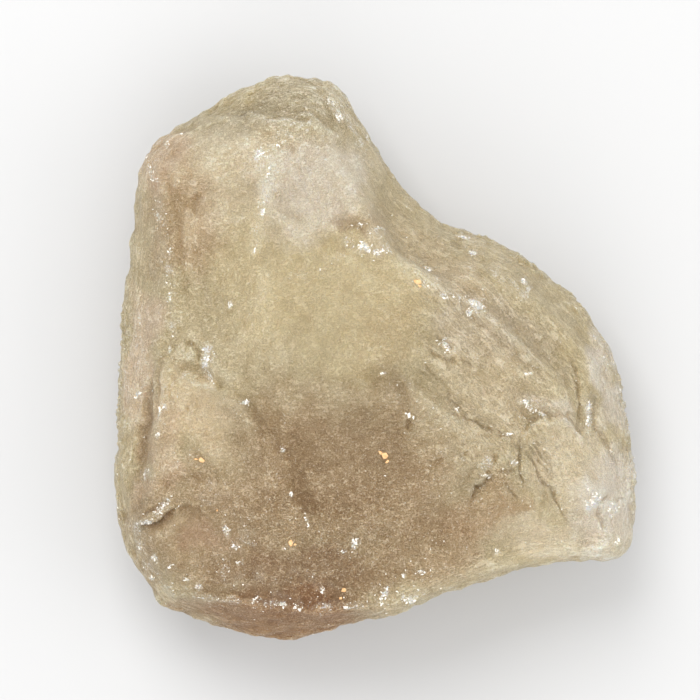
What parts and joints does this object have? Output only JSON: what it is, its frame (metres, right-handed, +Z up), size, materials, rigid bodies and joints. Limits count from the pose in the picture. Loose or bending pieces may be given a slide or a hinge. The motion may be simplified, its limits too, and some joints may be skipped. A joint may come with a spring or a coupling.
{
  "type": "libyan desert glass",
  "caption": "Wind-worn lump of translucent desert glass with shallow scoops, ridges and a bevelled rim, lying on its flat back.",
  "frame": {"origin": "on the resting face, at the middle of the stone's outline seen from above", "axes": "+Z up out of the broad worn face that the picture shows, +Y towards the narrow end, +X towards the side lobe"},
  "size_m": [0.0652, 0.0706, 0.0256],
  "materials": {
    "desert_glass": "frosted by wind-blown sand, translucent pale yellow-green to smoky grey-brown"
  },
  "bodies": {
    "root": {"stone": "desert_glass"}
  },
  "joints": []
}
